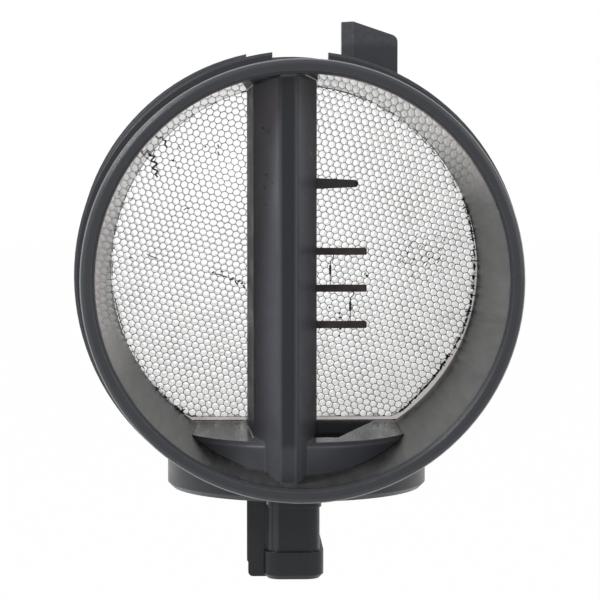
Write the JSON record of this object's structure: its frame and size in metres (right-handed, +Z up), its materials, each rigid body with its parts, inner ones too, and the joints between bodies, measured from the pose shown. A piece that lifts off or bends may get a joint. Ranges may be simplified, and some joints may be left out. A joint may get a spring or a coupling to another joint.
{
  "type": "mass airflow sensor",
  "caption": "Round plastic air duct with a strut carrying a heated sensing element across the bore, a honeycomb flow straightener behind it and an electrical connector below.",
  "frame": {"origin": "centre of the outlet lip, on the bore's axis", "axes": "+Y along the bore's axis from the outlet lip towards the inlet, +Z up, away from the connector; air flows towards -Y"},
  "size_m": [0.0978, 0.094, 0.1152],
  "materials": {
    "housing_plastic": "moulded, fine grain",
    "cover_plastic": "moulded, fine grain",
    "carrier_plastic": "moulded, smooth",
    "honeycomb_metal": "thin bare foil",
    "ring_metal": "spring steel",
    "seal_rubber": "smooth",
    "lead_metal": "dull, tarnished",
    "probe_plastic": "dipped resin",
    "element_glass": "glass-coated bobbin",
    "board_laminate": "glass-fibre laminate with solder mask",
    "chip_plastic": "moulded epoxy",
    "screw_steel": "zinc plated",
    "terminal_metal": "tin plated",
    "ceramic": "fired ceramic"
  },
  "bodies": {
    "root": {"flow_tube": "housing_plastic", "flow_straightener": "honeycomb_metal", "straightener_ring": "ring_metal", "inlet_seal": "seal_rubber", "sensor_carrier": "carrier_plastic", "foot_seal": "seal_rubber", "probe_lead_1": "lead_metal", "probe_lead_2": "lead_metal", "upper_post": "lead_metal", "middle_post": "lead_metal", "lower_post": "lead_metal", "air_temperature_probe": "probe_plastic", "hot_element": "element_glass", "cold_element": "element_glass", "circuit_board": "board_laminate", "board_screws": "screw_steel", "signal_processor": "chip_plastic", "voltage_regulator": "chip_plastic", "power_transistor": "chip_plastic", "trim_resistor": "ceramic", "filter_capacitor_1": "ceramic", "filter_capacitor_2": "ceramic", "filter_capacitor_3": "ceramic", "electronics_cover": "cover_plastic", "cover_seal": "seal_rubber", "terminal_1": "terminal_metal", "terminal_2": "terminal_metal", "terminal_3": "terminal_metal", "terminal_4": "terminal_metal", "terminal_5": "terminal_metal"}
  },
  "joints": []
}
